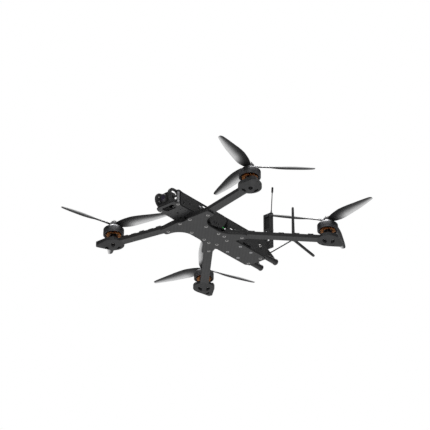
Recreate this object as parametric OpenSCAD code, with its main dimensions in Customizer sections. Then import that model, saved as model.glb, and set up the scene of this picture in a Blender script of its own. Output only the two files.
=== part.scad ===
// Eight-inch long-range quadcopter: sandwich frame, four motors with
// three-blade propellers, tilting camera, tail mount with antennas.
// +Z is up, the camera looks along -Y and +X is the aircraft's left side.
// The origin is on the belly, under the centre of the four motors.

/* [Layout] */
// Sideways distance from the centre line to a front motor
front_x = 144.3; // [140:0.1:150]
// Sideways distance from the centre line to a rear motor
rear_x = 133; // [130:0.1:140]
// Distance from the motor centre line to the front or rear motors
motor_y = 106.3; // [105:0.1:112]
// Half of the body width
body_half = 20.5; // [19.5:0.1:22]
// Rear end of the carbon plates
body_rear = 87; // [80:1:88]

/* [Layers] */
// Thickness of the bottom plate
bottom_t = 3; // [2:0.5:3]
// Thickness of the arms
arm_t = 6; // [5:0.5:6]
// Thickness of the middle and top plates
plate_t = 2; // [1.5:0.5:2.5]
// Height of the posts between the middle and top plates
post_h = 21; // [20:0.5:24]
// Height of the propeller hub's underside over the belly
prop_z = 36.3; // [36:0.1:40]

/* [Arms and guards] */
// Width of an arm
arm_w = 14.4; // [12:0.2:16]
// Radius of the round motor pad at the arm's end
pad_r = 15.9; // [15:0.1:16]
// Outer radius of the motor guard
guard_r = 18.4; // [18:0.1:20]
// How far the guard's foot reaches under the belly
foot_drop = 5.2; // [3:0.1:6]
// Angle between an arm and the nose of its guard
nose_turn = 28; // [20:1:35]

/* [Motors] */
// Outer radius of the motor bell
bell_r = 17; // [16:0.1:17]
// Height of the bell from its rim to its top
bell_h = 15.7; // [15:0.1:16]
// Radius of the motor shaft
shaft_r = 2.5; // [2:0.1:2.5]
// Radial clearance of the shaft in its bearing tube
shaft_play = 0.05; // [0.02:0.01:0.1]
// Radius of the circle of the four motor screws
motor_screw_r = 9.5; // [9:0.1:10]

/* [Propellers] */
// Radius of a propeller
prop_r = 101.6; // [95:0.1:101.6]
// Distance that a blade would screw forward in one turn
prop_pitch = 102; // [90:1:130]
// Thickness of the propeller hub
hub_h = 7.2; // [6:0.1:8]

/* [Camera] */
// Downward tilt of the camera at rest
camera_tilt = 16; // [0:1:30]
// Width of the camera housing
camera_w = 19; // [18:0.5:20]
// Distance between the two side plates that carry the camera
cradle_w = 24.8; // [24:0.2:25.4]

/* [Hidden] */
$fn = 48;

EPS = 0.01;
arm_z = bottom_t;
mid_z = arm_z + arm_t;
deck_z = mid_z + plate_t;
top_z = deck_z + post_h;
roof_z = top_z + plate_t;

// One row per motor: x, y, arm root x, arm root y, nose side, spin, blade phase
FL = [front_x, -motor_y, 12, -81.3, -1, 1, 283.0];
FR = [-front_x, -motor_y, -12, -81.3, 1, -1, 257.1];
RL = [rear_x, motor_y, 12, -18.5, 1, -1, 351.2];
RR = [-rear_x, motor_y, -12, -18.5, -1, 1, 189.9];
MOTORS = [FL, FR, RL, RR];

stack_x = 15.25;
stack_y = [-59.3, -28.8];
stack_mid = (stack_y[0] + stack_y[1]) / 2;
nut_x = 13.7;
nut_y = [27.7, 54.7];
arm_screws = [[41.7, -85.8], [10.6, -92.9], [35.1, 5.9], [16.4, -16], [10.6, -2.6]];
post_spots = [[18.4, -130.5], [10.6, -92.9], [10.6, -2.6], [12.8, 80.5]];
screw_r = 1.5;
head_r = 2.75;
head_h = 1.7;
play = 0.05;

base_z = mid_z;
base_h = 3;
rim_z = prop_z - bell_h;
core_z = [rim_z + 1.6, rim_z + 7.8];
end_turn = 2.5;
wall_low = 3;
foot_r = 4;
nose_reach = 25.8;
teeth = 12;

side_screw = [body_half, 70, 17];

mouth = [0, -131.5];
camera_pivot = [0, -135, 25.5];
camera_gap = 0.4;
cheek_x = cradle_w / 2;
cheek_t = 2.2;
bar_spots = [[-119.5, 14], [-120.4, 33.5]];
bar_r = 1.6;
lip_y = -142;

tube_x = 15.8;
tube_z = 7.2;
tube_r = 4.8;
tube_end = 118;
tail_y = [body_rear + 1, body_rear + 5];
gusset_w = 4.4;
gusset_z = [tube_z + tube_r + 0.02, 24];
mast_x = [10.5, 25.5];
mast_y = [tail_y[1], tail_y[1] + 8];
mast_z = [30, 88];
tee = [15.8, 166.5, 71];
stem_start = [15.8, 95, 13];
tee_up = 63;
tee_back = 71;
tee_turn = 98;

carbon = [0.16, 0.16, 0.17];
rubbery = [0.11, 0.11, 0.12];
steel = [0.75, 0.75, 0.76];
smoke = [0.22, 0.22, 0.23];

// Points of a circular arc from angle a to angle b
function arc(centre, r, a, b, steps = 8) =
  [for (i = [0:steps]) centre + r * [cos(a + (b - a) * i / steps), sin(a + (b - a) * i / steps)]];

function heading(m) = atan2(m[1] - m[3], m[0] - m[2]);

// A left half outline joined to its mirror image
function whole(half) = concat(half, [for (i = [len(half) - 1:-1:0]) [-half[i][0], half[i][1]]]);

module both_sides() {
  children();
  mirror([1, 0, 0]) children();
}

// Puts its children at a motor's axis, turned so that +X points away from the body
module at_arm_end(m) {
  translate([m[0], m[1], 0]) rotate(heading(m)) children();
}

module post_holes(spots, r) {
  both_sides() for (s = spots) translate([s[0], s[1], -1]) cylinder(h = roof_z + 2, r = r);
}

module stack_spots() {
  both_sides() for (y = stack_y) translate([stack_x, y, 0]) children();
}

// ---- Frame plates -------------------------------------------------------

// Left half of the bottom plate's outline, from the nose notch to the tail
function half_outline() = concat(
  [[0, -95]],
  arc([0, -113.5], 18.5, 80, 53, 4),
  [[27, -97.6]],
  arc([46.2, -92.5], 4.8, 270, 360, 5),
  arc([47, -84], 4, 0, 80, 4),
  arc([46, -54], 25.5, 262, 182, 9),
  arc([54, -38], 33.5, 178, 128, 6),
  arc([41, 3], 5.5, 310, 390, 5),
  arc([35.5, 9.5], 3.6, 30, 135, 4),
  arc([24, 10], 3.5, 250, 180, 3),
  [[body_half, body_rear - 6], [body_half - 6, body_rear], [0, body_rear - 1.5]]
);

module bottom_plate() {
  color(carbon) difference() {
    linear_extrude(bottom_t) polygon(whole(half_outline()));
    post_holes(concat(arm_screws, [post_spots[3]]), screw_r);
    sinks(concat(arm_screws, [post_spots[3]]));
    stack_spots() {
      translate([0, 0, -1]) cylinder(h = 6, r = screw_r);
      sink();
    }
    both_sides() for (y = nut_y) translate([nut_x, y, -1]) cylinder(h = 6, r = 2.4);
  }
}

module middle_plate() {
  color(carbon) translate([0, 0, mid_z]) difference() {
    linear_extrude(plate_t) polygon(whole(concat(
      arc([14, -136], 5.5, 270, 350, 5),
      arc([17.4, -131], 3.6, 340, 390, 3),
      [[19, -122], [19.4, -104], [body_half - 0.5, -99], [body_half - 0.5, 6], [15, 10]]
    )));
    // Crescent under the camera
    translate([0, 0, -1]) intersection() {
      translate(mouth) cylinder(h = 6, r = 11.4);
      translate([-12, mouth[1] - 4.5, 0]) cube([24, 12, 6]);
    }
    translate([0, 0, -mid_z]) post_holes(concat(arm_screws, [post_spots[0]]), screw_r);
    sinks([post_spots[0]]);
    translate([0, 0, -1]) stack_spots() cylinder(h = 6, r = screw_r);
    translate([0, -110.5, -1]) cylinder(h = 6, r = 2);
    for (hole = [[5.4, -104], [14, -108.5], [10.7, -116], [15.3, -116.8]])
      both_sides() translate([hole[0], hole[1], -1]) cylinder(h = 6, r = 0.8);
    // Slots that pass the motor wires up to the speed controller
    both_sides() for (y = [-76, -10]) translate([13, y - 4, -1]) cube([4, 8, 6]);
  }
}

module top_plate() {
  color(carbon) translate([0, 0, top_z]) difference() {
    linear_extrude(plate_t) polygon(whole(concat(
      [[12, -113], [15.6, -115]],
      arc([18.6, -130.6], 3.2, 200, 360, 6),
      [[body_half, -122], [body_half, body_rear - 4], [body_half - 4, body_rear]]
    )));
    translate([0, 0, -top_z]) post_holes(post_spots, screw_r);
    translate([0, 0, plate_t]) mirror([0, 0, 1]) sinks(post_spots);
    // Windows down the middle and slots for two battery straps
    for (y = [-84, -44, 18, 58]) translate([-9, y - 10, -1]) cube([18, 20, 6]);
    both_sides() for (y = [-66, 38]) translate([13.4, y - 12, -1]) cube([4.6, 24, 6]);
  }
}

module posts() {
  color(steel) both_sides() for (s = post_spots) {
    rear = s[1] > 50;
    foot = rear ? bottom_t : deck_z;
    translate([s[0], s[1], foot]) difference() {
      cylinder(h = top_z - foot, r = 2.5);
      translate([0, 0, -1]) cylinder(h = top_z, r = screw_r);
    }
  }
}

module plate_spacers() {
  color(rubbery) {
    stack_spots() translate([0, 0, arm_z]) difference() {
      cylinder(h = arm_t, r = 3.5);
      translate([0, 0, -1]) cylinder(h = arm_t + 2, r = screw_r);
    }
    translate([-6, stack_mid - 10, arm_z]) cube([12, 20, arm_t]);
  }
}

// A screw with its head flush in the plate's lower face at z and its thread reaching up
module flush_screw(z, reach) {
  translate([0, 0, z]) cylinder(h = head_h, r1 = head_r, r2 = screw_r - play);
  translate([0, 0, z + 1]) cylinder(h = reach - 1, r = screw_r - play);
}

// Countersinks for flush screws in a plate's lower face at z = 0
module sinks(spots) {
  both_sides() for (s = spots) translate([s[0], s[1], 0]) sink();
}

module sink() {
  translate([0, 0, -EPS]) cylinder(h = head_h, r1 = head_r + EPS, r2 = screw_r);
}

module plate_screws() {
  color(steel) {
    both_sides() for (s = arm_screws) translate([s[0], s[1], 0]) {
      flush_screw(0, deck_z + 2);
      if (s[0] > body_half) translate([0, 0, mid_z]) difference() {
        cylinder(h = 2.4, r = 3, $fn = 6);
        translate([0, 0, -1]) cylinder(h = 5, r = screw_r - play);
      }
    }
    both_sides() {
      translate([post_spots[3][0], post_spots[3][1], 0]) flush_screw(0, 8);
      translate([post_spots[0][0], post_spots[0][1], 0]) flush_screw(mid_z, 8);
      for (s = post_spots) translate([s[0], s[1], roof_z]) mirror([0, 0, 1]) flush_screw(0, 7);
      translate(side_screw) rotate([0, 90, 0]) {
        cylinder(h = head_h, r = head_r);
        translate([0, 0, -4]) cylinder(h = 5, r = screw_r - play);
      }
    }
  }
}

module press_nuts() {
  color(steel) both_sides() for (y = nut_y) translate([nut_x, y, 0]) difference() {
    union() {
      cylinder(h = bottom_t, r = 2.4);
      translate([0, 0, bottom_t]) cylinder(h = 2, r = 3.2);
    }
    translate([0, 0, -1]) cylinder(h = 8, r = screw_r);
  }
}

// ---- Arms and guards ----------------------------------------------------

FRONT_ROOT = [[1, -92], [8, -97], [26, -97], [46, -95], [46, -80], [27, -74], [16, -67], [1, -67]];
REAR_ROOT = [[1, -22], [22, -22], [32, -11], [44, 2], [33, 12], [22, 3], [6, 3], [1, -2]];

// An arm of the left side; the right arms are mirror images
module arm(m) {
  root = m[1] < 0 ? FRONT_ROOT : REAR_ROOT;
  reach = norm([m[0] - m[2], m[1] - m[3]]);
  color(carbon) translate([0, 0, arm_z]) difference() {
    linear_extrude(arm_t) union() {
      translate([m[0], m[1]]) circle(r = pad_r);
      translate([m[0], m[1]]) rotate(heading(m))
        translate([-reach + 18, -arm_w / 2]) square([reach - 18, arm_w]);
      polygon(root);
    }
    post_holes(arm_screws, screw_r);
    translate([m[0], m[1], -1]) cylinder(h = arm_t + 2, r = 3.6);
    at_arm_end(m) for (a = [0:90:270]) rotate(a + screw_turn(m))
      translate([motor_screw_r, 0, -1]) cylinder(h = arm_t + 2, r = screw_r);
  }
}

// The front screws lie on diagonals of the aircraft and the rear ones on its axes
function screw_turn(m) = (m[1] < 0 ? 45 : 0) - heading(m);

module guard(m) {
  wall_top = mid_z - 0.4;
  color(rubbery) at_arm_end(m) difference() {
    // A shallow cone under the arm's end, drawn out to a blunt nose
    rotate(m[4] * nose_turn) hull() {
      translate([0, 0, -foot_drop]) cylinder(h = 1, r = foot_r);
      translate([0, 0, wall_low]) cylinder(h = wall_top - wall_low, r = guard_r, $fn = 64);
      for (y = [-1.8, 1.8]) translate([nose_reach, y, wall_low - 1.8])
        cylinder(h = wall_top - wall_low + 1.2, r = 2.2, $fn = 24);
    }
    // Seat of the arm, open towards the body
    translate([0, 0, arm_z]) cylinder(h = 20, r = pad_r);
    translate([-40, -arm_w / 2, arm_z]) cube([40, arm_w, 20]);
    translate([-40, -30, arm_z + 1]) cube([29, 60, 20]);
    for (a = [0:90:270]) rotate(a + screw_turn(m))
      translate([motor_screw_r, 0, -20]) cylinder(h = 40, r = 3.5);
  }
}

module arm_wires() {
  color(rubbery) for (m = MOTORS) at_arm_end(m) {
    length = norm([m[0] - m[2], m[1] - m[3]]);
    for (lane = [-1, 0, 1]) translate([-17, lane * 2.1, mid_z + 1]) rotate([0, -90, 0])
      cylinder(h = length - 60, r = 1, $fn = 24);
  }
}

module motor_screws() {
  color(steel) for (m = MOTORS) at_arm_end(m) for (a = [0:90:270])
    rotate(a + screw_turn(m)) translate([motor_screw_r, 0, arm_z]) {
      translate([0, 0, -head_h]) cylinder(h = head_h, r = head_r);
      translate([0, 0, -EPS]) cylinder(h = arm_t + 2.5, r = screw_r - play);
    }
}

// ---- Motors -------------------------------------------------------------

module motor_base(m) {
  color(carbon) at_arm_end(m) difference() {
    union() {
      translate([0, 0, base_z]) cylinder(h = base_h, r = 12.6);
      translate([0, 0, base_z]) cylinder(h = rim_z - base_z + 9, r = 4.4);
      // Stator core with one tooth for each coil
      translate([0, 0, core_z[0]]) cylinder(h = core_z[1] - core_z[0], r = 6.8);
      for (i = [0:teeth - 1]) rotate(i * 360 / teeth) translate([6, -1, core_z[0]])
        cube([6.9, 2, core_z[1] - core_z[0]]);
    }
    translate([0, 0, base_z - 1]) cylinder(h = 40, r = shaft_r + shaft_play);
    for (a = [0:90:270]) rotate(a + screw_turn(m))
      translate([motor_screw_r, 0, base_z - 1]) cylinder(h = base_h + 2, r = screw_r);
    for (a = [45:90:315]) rotate(a + screw_turn(m))
      translate([8.6, 0, base_z - 1]) cylinder(h = base_h + 2, r = 2.6);
  }
}

module stator_windings() {
  low = core_z[0] - end_turn;
  tall = core_z[1] - core_z[0] + 2 * end_turn;
  color([0.72, 0.42, 0.2]) for (m = MOTORS) at_arm_end(m)
    for (i = [0:teeth - 1]) rotate(i * 360 / teeth) difference() {
      translate([7.4, -1.75, low]) cube([5, 3.5, tall]);
      translate([6, -1, core_z[0]]) cube([7, 2, core_z[1] - core_z[0]]);
    }
}

module bell(m) {
  color([0.2, 0.2, 0.21]) translate([m[0], m[1], 0]) {
    rotate_extrude($fn = 72) polygon([
      [14.1, rim_z + 0.8], [15.2, rim_z], [bell_r, rim_z], [bell_r, rim_z + 10.8],
      [12, prop_z - 0.6], [10.5, prop_z], [0, prop_z], [0, rim_z + 10.5], [14.1, rim_z + 10.5]
    ]);
    translate([0, 0, base_z + 0.5]) cylinder(h = prop_z + 9.5 - base_z, r = shaft_r);
  }
}

module nut(m) {
  color(steel) translate([m[0], m[1], prop_z + hub_h]) difference() {
    union() {
      cylinder(h = 0.8, r = 5.4);
      cylinder(h = 3.4, r = 4.4, $fn = 6);
    }
    translate([0, 0, -1]) cylinder(h = 6, r = shaft_r);
  }
}

// ---- Propellers ---------------------------------------------------------

// Radius, chord and sideways sweep of each blade section, as parts of the radius
SECTIONS = [
  [0.052, 0.060, 0.00], [0.14, 0.145, 0.00], [0.26, 0.180, 0.00], [0.38, 0.190, 0.005],
  [0.52, 0.182, 0.005], [0.66, 0.160, 0.00], [0.80, 0.128, 0.00], [0.92, 0.092, 0.00],
  [1, 0.050, -0.005]
];
// Chord position from the leading edge, and height, of the section's corners
RING = [[-0.5, 0.01], [-0.22, 0.075], [0.15, 0.065], [0.5, 0.03], [0.5, -0.02], [-0.22, -0.02]];

function blade_point(s, k) =
  let (r = s[0] * prop_r,
       pitch = min(26, atan(prop_pitch / (2 * PI * max(r, 12)))),
       thick = s[0] < 0.1 ? 3 : 1 - 0.2 * s[0],
       u = RING[k][0] * s[1] * prop_r,
       v = RING[k][1] * s[1] * prop_r * thick)
  [r, s[2] * prop_r - u * cos(pitch) - v * sin(pitch), -u * sin(pitch) + v * cos(pitch)];

module blade() {
  rows = len(SECTIONS);
  cols = len(RING);
  polyhedron(
    [for (s = SECTIONS) for (k = [0:cols - 1]) blade_point(s, k)],
    concat(
      [[for (k = [0:cols - 1]) k]],
      [[for (k = [cols - 1:-1:0]) (rows - 1) * cols + k]],
      [for (i = [0:rows - 2]) for (k = [0:cols - 1])
        [i * cols + k, (i + 1) * cols + k, i * cols + (k + 1) % cols]],
      [for (i = [0:rows - 2]) for (k = [0:cols - 1])
        [(i + 1) * cols + k, (i + 1) * cols + (k + 1) % cols, i * cols + (k + 1) % cols]]
    ));
}

module prop(m) {
  color(smoke) translate([m[0], m[1], prop_z]) difference() {
    union() {
      cylinder(h = hub_h, r = 6.8);
      for (a = [0:120:240]) rotate(m[6] + a) translate([0, 0, 3.4])
        scale([1, m[5], 1]) blade();
    }
    translate([0, 0, -5]) cylinder(h = 20, r = shaft_r);
  }
}

// ---- Body sides and tail ------------------------------------------------

module side_panel_front() {
  color(rubbery) translate([body_half - 2, 0, 0]) difference() {
    translate([0, -126, deck_z]) cube([2, 52, post_h]);
    translate([-1, -121.5, deck_z + 2]) rotate([-20, 0, 0]) cube([4, 2.2, 6]);
    translate([-1, -105, deck_z + 9]) rotate([0, 90, 0]) cylinder(h = 4, r = 1.6);
  }
}

module side_pod() {
  color(rubbery) translate([body_half, 0, 0]) difference() {
    rotate([90, 0, 90]) linear_extrude(3) polygon(concat(
      arc([-52, 12], 8, 180, 265, 5),
      arc([-36, 20], 13, 280, 330, 5),
      arc([-26, 24], 8, 0, 90, 6),
      arc([-54, 26], 6, 90, 180, 4)
    ));
    for (y = [-50, -45, -40]) translate([2, y, 9]) cube([3, 2.5, 3]);
  }
}

module side_panel_rear() {
  color(rubbery) translate([body_half - 2, 0, 0]) difference() {
    union() {
      translate([0, -12, deck_z]) cube([2, body_rear + 12, post_h]);
      translate([0, 16, bottom_t]) cube([2, body_rear - 16, deck_z]);
    }
    translate([-1, 26, 0]) cube([4, 20, 6.8]);
    for (y = [-6, 6]) translate([-1, y, deck_z + 6]) cube([4, 8, 3]);
    translate([-1, side_screw[1], side_screw[2]]) rotate([0, 90, 0]) cylinder(h = 4, r = screw_r);
  }
}

module tail_mount() {
  color(rubbery) difference() {
    union() {
      translate([-body_half, tail_y[0] - 1, bottom_t]) cube([2 * body_half, 5, top_z - bottom_t]);
      both_sides() translate([tube_x - gusset_w / 2, 0, 0]) rotate([90, 0, 90]) linear_extrude(gusset_w)
        polygon([[tail_y[1] - 1, gusset_z[0]], [tube_end - 6, gusset_z[0]],
                 [tube_end - 8, gusset_z[0] + 2], [tail_y[1] - 1, gusset_z[1]]]);
      // Foot of the mast
      translate([mast_x[0], tail_y[1] - 1, 25]) cube([mast_x[1] - mast_x[0], 9, 5]);
    }
    for (z = [13, 23]) translate([-12, tail_y[0] - 2, z]) cube([24, 8, 5]);
    stem(1.22);
  }
}

module tail_tubes() {
  color(rubbery) both_sides() translate([tube_x, tail_y[1], tube_z]) rotate([-90, 0, 0])
    difference() {
      union() {
        cylinder(h = tube_end - tail_y[1], r = tube_r);
        translate([0, 0, tube_end - tail_y[1] - 3]) cylinder(h = 3, r = tube_r + 0.5);
      }
      translate([0, 0, -1]) cylinder(h = 60, r = 3.2);
    }
}

// ---- Camera -------------------------------------------------------------

module camera_plate() {
  color(rubbery) translate([cheek_x, 0, 0]) difference() {
    rotate([90, 0, 90]) linear_extrude(cheek_t) difference() {
      polygon(concat(
        [[-141, deck_z], [-118, deck_z], [-116, 18]],
        arc([-121, 32.5], 5, 0, 90, 4),
        arc([-135.5, 23.5], 13.6, 85, 240, 12)
      ));
      // Round window with the pivot's boss on a spoke
      translate([camera_pivot[1], camera_pivot[2]]) difference() {
        circle(r = 7.4);
        circle(r = 3.3);
        translate([-9, -2.6]) square([9, 5.2]);
      }
    }
    translate([-1, camera_pivot[1], camera_pivot[2]]) rotate([0, 90, 0])
      cylinder(h = 6, r = 1.45);
  }
}

module camera_cross_bars() {
  color(rubbery) {
    for (spot = bar_spots)
      translate([-cheek_x, spot[0], spot[1]]) rotate([0, 90, 0]) cylinder(h = 2 * cheek_x, r = bar_r);
    // Lip across the front, under the lens
    translate([-cheek_x, lip_y, deck_z]) cube([2 * cheek_x, 2.4, 3]);
  }
}

module on_camera() {
  translate(camera_pivot) rotate([camera_tilt, 0, 0]) children();
}

module camera_housing() {
  color([0.13, 0.13, 0.14]) on_camera() difference() {
    union() {
      translate([-camera_w / 2, -9, -9]) cube([camera_w, 15, 15]);
      translate([0, -8, -1.5]) rotate([90, 0, 0]) cylinder(h = 2.2, r = 6.8);
      both_sides() rotate([0, 90, 0]) cylinder(h = cheek_x - camera_gap, r = 3.4);
    }
    translate([0, -4, -1.5]) rotate([90, 0, 0]) cylinder(h = 20, r = 5.6);
    both_sides() translate([camera_w / 2 - 3, 0, 0]) rotate([0, 90, 0]) cylinder(h = 9, r = 1.4);
  }
}

module lens_barrel() {
  color([0.05, 0.05, 0.06]) on_camera() translate([0, -4, -1.5]) rotate([90, 0, 0]) difference() {
    union() {
      cylinder(h = 7, r = 5.6);
      translate([0, 0, 6.2]) cylinder(h = 2.6, r = 6.3);
    }
    translate([0, 0, 7.2]) cylinder(h = 4, r = 5);
  }
}

module lens_glass() {
  color([0.1, 0.12, 0.2]) on_camera() translate([0, -11.2, -1.5]) rotate([90, 0, 0])
    cylinder(h = 1.2, r1 = 5, r2 = 3.2);
}

// The two screws turn with the camera in the holes of its side plates
module camera_screws() {
  color(steel) on_camera() both_sides() rotate([0, 90, 0])
    translate([0, 0, camera_w / 2 - 3]) cylinder(h = cheek_x + cheek_t + 0.6 - camera_w / 2 + 3, r = 1.4);
}

// ---- Electronics --------------------------------------------------------

module board(z, hole) {
  translate([0, stack_mid, z]) difference() {
    translate([-18, -18.5, 0]) cube([36, 37, 1.6]);
    for (x = [-stack_x, stack_x]) for (y = [-stack_x, stack_x])
      translate([x, y, -1]) cylinder(h = 4, r = hole);
  }
}

module speed_controller() {
  color([0.1, 0.12, 0.12]) {
    board(deck_z + 3, 1.6);
    for (x = [-11, 3]) for (y = [-10, 3])
      translate([x, stack_mid + y, deck_z + 4.6]) cube([8, 7, 1.2]);
  }
}

module flight_controller() {
  color([0.1, 0.12, 0.12]) {
    board(deck_z + 11, 1.6);
    translate([-4, stack_mid - 4, deck_z + 12.6]) cube([8, 8, 1.2]);
    translate([-12, stack_mid - 16.5, deck_z + 12.6]) cube([8, 4, 2.6]);
  }
}

module stack_bolts() {
  color(steel) stack_spots() {
    flush_screw(0, deck_z + 17);
    for (z = [deck_z, deck_z + 4.6, deck_z + 12.6]) translate([0, 0, z]) difference() {
      cylinder(h = z == deck_z + 4.6 ? 6.4 : 3, r = 2.5);
      translate([0, 0, -1]) cylinder(h = 9, r = screw_r - 0.1);
    }
  }
}

module video_transmitter() {
  color([0.3, 0.3, 0.31]) translate([-15, 13, bottom_t + 3]) {
    difference() {
      cube([30, 32, 9]);
      for (i = [0:6]) translate([2 + 4 * i, -1, 6]) cube([2, 34, 5]);
    }
    translate([6.5, 2, -3]) cube([17, 28, 3]);
  }
}

module capacitor() {
  color([0.16, 0.17, 0.2]) translate([-3.4, 61, bottom_t + 6.35]) rotate([0, 90, 90])
    cylinder(h = 22, r = 6.3);
}

module radio_receiver() {
  color([0.12, 0.2, 0.16]) translate([5, 60, bottom_t]) cube([9, 16, 4]);
}

module status_led() {
  color([0.1, 0.6, 0.15]) translate([body_half - 3, -25.5, deck_z]) cube([3, 4, 2.4]);
}

// ---- Antennas -----------------------------------------------------------

module antenna_mast() {
  wide = mast_x[1] - mast_x[0];
  color(rubbery) difference() {
    union() {
      translate([mast_x[0], mast_y[0], mast_z[0]]) cube([wide, 8, mast_z[1] - mast_z[0]]);
      for (z = [mast_z[0] + 24, mast_z[1] - 4])
        translate([mast_x[1] - 1, mast_y[0] + 4, z]) cylinder(h = 4, r = 3.4);
    }
    translate([mast_x[0] + 3, mast_y[0] - 1, mast_z[0] + 30]) cube([wide - 5.5, 6.5, 22]);
    translate([mast_x[0] + 3, mast_y[0] - 1, mast_z[0] + 6]) cube([wide - 5.5, 10, 19]);
    translate([mast_x[0] + 3, mast_y[0] + 2, mast_z[1] - 3]) cube([wide - 5.5, 4, 9]);
  }
}

module mast_module() {
  color([0.55, 0.55, 0.56]) translate([mast_x[0] + 3.3, mast_y[0] + 1, mast_z[0] + 31])
    cube([8.9, 4.5, 20]);
}

module whip_antenna() {
  color(rubbery) translate([mast_x[1] - 1, mast_y[0] + 4, mast_z[1]]) {
    cylinder(h = 3, r = 1.8);
    translate([0, 0, 1]) rotate([0, 4, 0]) cylinder(h = 40, r = 0.8);
    translate([0, 0, 1]) rotate([0, 4, 0]) translate([0, 0, 39]) cylinder(h = 10, r = 1.7);
  }
}

// Rod from the tail mount up to the antenna's junction
module stem(r) {
  run = tee - stem_start;
  translate(stem_start) rotate([0, acos(run[2] / norm(run)), 90]) cylinder(h = norm(run), r = r);
}

module t_antenna() {
  color(rubbery) {
    stem(1.2);
    translate(tee - [0, 0, 2.5]) cylinder(h = 5, r = 3);
    translate(tee) cylinder(h = tee_up, r1 = 2.8, r2 = 2);
    translate(tee) rotate([0, 90, tee_turn]) cylinder(h = tee_back, r = 2.4);
  }
}

bottom_plate();
middle_plate();
top_plate();
posts();
plate_spacers();
arm(FL);  // arm_front_left
mirror([1, 0, 0]) arm(FL);  // arm_front_right
arm(RL);  // arm_rear_left
mirror([1, 0, 0]) arm(RL);  // arm_rear_right
guard(FL);  // guard_front_left
guard(FR);  // guard_front_right
guard(RL);  // guard_rear_left
guard(RR);  // guard_rear_right
motor_base(FL);  // motor_base_front_left
motor_base(FR);  // motor_base_front_right
motor_base(RL);  // motor_base_rear_left
motor_base(RR);  // motor_base_rear_right
stator_windings();
bell(FL);  // bell_front_left
bell(FR);  // bell_front_right
bell(RL);  // bell_rear_left
bell(RR);  // bell_rear_right
prop(FL);  // prop_front_left
prop(FR);  // prop_front_right
prop(RL);  // prop_rear_left
prop(RR);  // prop_rear_right
nut(FL);  // nut_front_left
nut(FR);  // nut_front_right
nut(RL);  // nut_rear_left
nut(RR);  // nut_rear_right
side_panel_front();  // side_panel_front_left
mirror([1, 0, 0]) side_panel_front();  // side_panel_front_right
side_pod();  // side_pod_left
mirror([1, 0, 0]) side_pod();  // side_pod_right
side_panel_rear();  // side_panel_rear_left
mirror([1, 0, 0]) side_panel_rear();  // side_panel_rear_right
tail_mount();
tail_tubes();
camera_plate();  // camera_plate_left
mirror([1, 0, 0]) camera_plate();  // camera_plate_right
camera_cross_bars();
camera_housing();
lens_barrel();
lens_glass();
camera_screws();
flight_controller();
speed_controller();
stack_bolts();
video_transmitter();
capacitor();
radio_receiver();
status_led();
antenna_mast();
mast_module();
whip_antenna();
t_antenna();
press_nuts();
plate_screws();
motor_screws();
arm_wires();
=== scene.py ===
"""The looks of an eight-inch quadcopter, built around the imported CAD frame.

Pieces are made in the frame's own millimetres and scaled to metres on the way
into Blender. +Z is up, the camera end faces -Y and +X is the aircraft's left.
"""
import math
import random

import bmesh
import bpy
from mathutils import Matrix, Vector, noise


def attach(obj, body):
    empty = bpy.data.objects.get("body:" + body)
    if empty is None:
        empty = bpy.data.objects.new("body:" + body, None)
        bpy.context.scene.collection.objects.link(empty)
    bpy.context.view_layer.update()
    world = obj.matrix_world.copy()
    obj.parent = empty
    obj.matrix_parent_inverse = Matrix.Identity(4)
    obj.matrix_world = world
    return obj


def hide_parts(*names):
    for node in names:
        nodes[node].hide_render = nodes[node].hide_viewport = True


MM = 0.001
AIRFRAME = "airframe"
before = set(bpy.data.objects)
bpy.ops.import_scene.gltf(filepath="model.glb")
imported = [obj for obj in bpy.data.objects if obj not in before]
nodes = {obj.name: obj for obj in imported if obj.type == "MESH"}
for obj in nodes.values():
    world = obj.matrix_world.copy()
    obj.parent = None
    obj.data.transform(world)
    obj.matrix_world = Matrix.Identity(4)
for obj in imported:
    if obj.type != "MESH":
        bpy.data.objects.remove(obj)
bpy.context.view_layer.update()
scene = bpy.context.scene

# ---- Sizes shared with the CAD, in millimetres --------------------------
BOTTOM_T, ARM_T, PLATE_T, POST_H = 3, 6, 2, 21
MID_Z = BOTTOM_T + ARM_T
DECK_Z = MID_Z + PLATE_T
TOP_Z = DECK_Z + POST_H
ROOF_Z = TOP_Z + PLATE_T
BODY_HALF, TAIL_Y = 20.5, 92

PROP_Z, HUB_H, BELL_H, BELL_R, SHAFT_R = 36.3, 7.2, 15.7, 17, 2.5
RIM_Z = PROP_Z - BELL_H
CORE_Z, END_TURN = (RIM_Z + 1.6, RIM_Z + 7.8), 2.5
POLES, MAGNETS = 12, 14
PROP_R, PROP_PITCH, PITCH_LIMIT = 101.6, 102, math.radians(26)
BLADES, BLADE_Z = 3, PROP_Z + 3.4

FRONT_X, REAR_X, MOTOR_Y, ROOT_X = 144.3, 133, 106.3, 12
FRONT_ROOT_Y, REAR_ROOT_Y = -81.3, -18.5
# Name, x, y, arm root x and y, spin, phase of the first blade
MOTORS = [
    ("front_left", FRONT_X, -MOTOR_Y, ROOT_X, FRONT_ROOT_Y, 1, 283.0),
    ("front_right", -FRONT_X, -MOTOR_Y, -ROOT_X, FRONT_ROOT_Y, -1, 257.1),
    ("rear_left", REAR_X, MOTOR_Y, ROOT_X, REAR_ROOT_Y, -1, 351.2),
    ("rear_right", -REAR_X, MOTOR_Y, -ROOT_X, REAR_ROOT_Y, 1, 189.9),
]

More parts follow.
